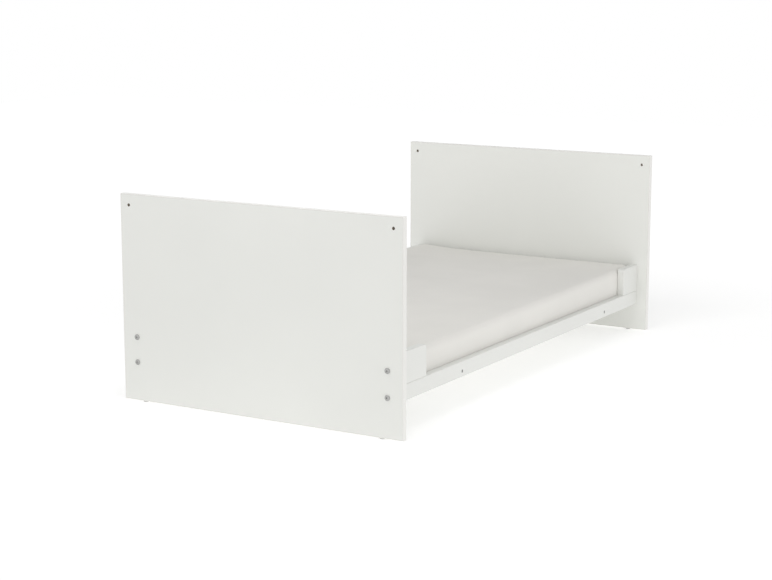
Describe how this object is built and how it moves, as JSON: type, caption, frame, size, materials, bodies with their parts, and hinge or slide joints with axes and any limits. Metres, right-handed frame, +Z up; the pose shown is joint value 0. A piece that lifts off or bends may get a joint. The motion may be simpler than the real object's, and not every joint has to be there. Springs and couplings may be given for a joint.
{
  "type": "toddler bed",
  "caption": "Low toddler bed with flat white head and foot boards, slim side rails with corner plates, a slatted base and a loose foam mattress that lifts out.",
  "frame": {"origin": "on the floor, under the middle of the bed", "axes": "+Z up, +Y along the bed to the headboard, +X to the right side seen from the foot"},
  "size_m": [0.81, 1.4648, 0.525],
  "materials": {
    "white_board": "satin",
    "white_edge": "satin",
    "white_lacquer": "satin",
    "dowel_wood": "matte",
    "zinc_steel": "satin",
    "glide_plastic": "matte",
    "foam": "matte",
    "cover_fabric": "matte"
  },
  "bodies": {
    "frame": {"footboard_panel": "white_board", "headboard_panel": "white_board", "footboard_edge_bands": "white_edge", "headboard_edge_bands": "white_edge", "right_side_rail": "white_lacquer", "left_side_rail": "white_lacquer", "right_foot_corner_plate": "white_lacquer", "right_head_corner_plate": "white_lacquer", "left_foot_corner_plate": "white_lacquer", "left_head_corner_plate": "white_lacquer", "slat_01": "white_lacquer", "slat_02": "white_lacquer", "slat_03": "white_lacquer", "slat_04": "white_lacquer", "slat_05": "white_lacquer", "slat_06": "white_lacquer", "slat_07": "white_lacquer", "slat_08": "white_lacquer", "slat_09": "white_lacquer", "slat_10": "white_lacquer", "slat_11": "white_lacquer", "slat_12": "white_lacquer", "slat_13": "white_lacquer", "slat_14": "white_lacquer", "right_slat_ledge": "white_lacquer", "left_slat_ledge": "white_lacquer", "foot_cross_bearer": "white_lacquer", "head_cross_bearer": "white_lacquer", "plate_dowels": "dowel_wood", "connector_bolts": "zinc_steel", "barrel_nuts": "zinc_steel", "bearer_screws": "zinc_steel", "ledge_screws": "zinc_steel", "slat_screws": "zinc_steel", "floor_glides": "glide_plastic"},
    "mattress": {"mattress_core": "foam", "mattress_cover": "cover_fabric"}
  },
  "joints": [
    {"name": "mattress_lift", "type": "slide", "parent": "frame", "child": "mattress", "axis": [0, 0, 1], "range_m": [0, 0.42]}
  ]
}
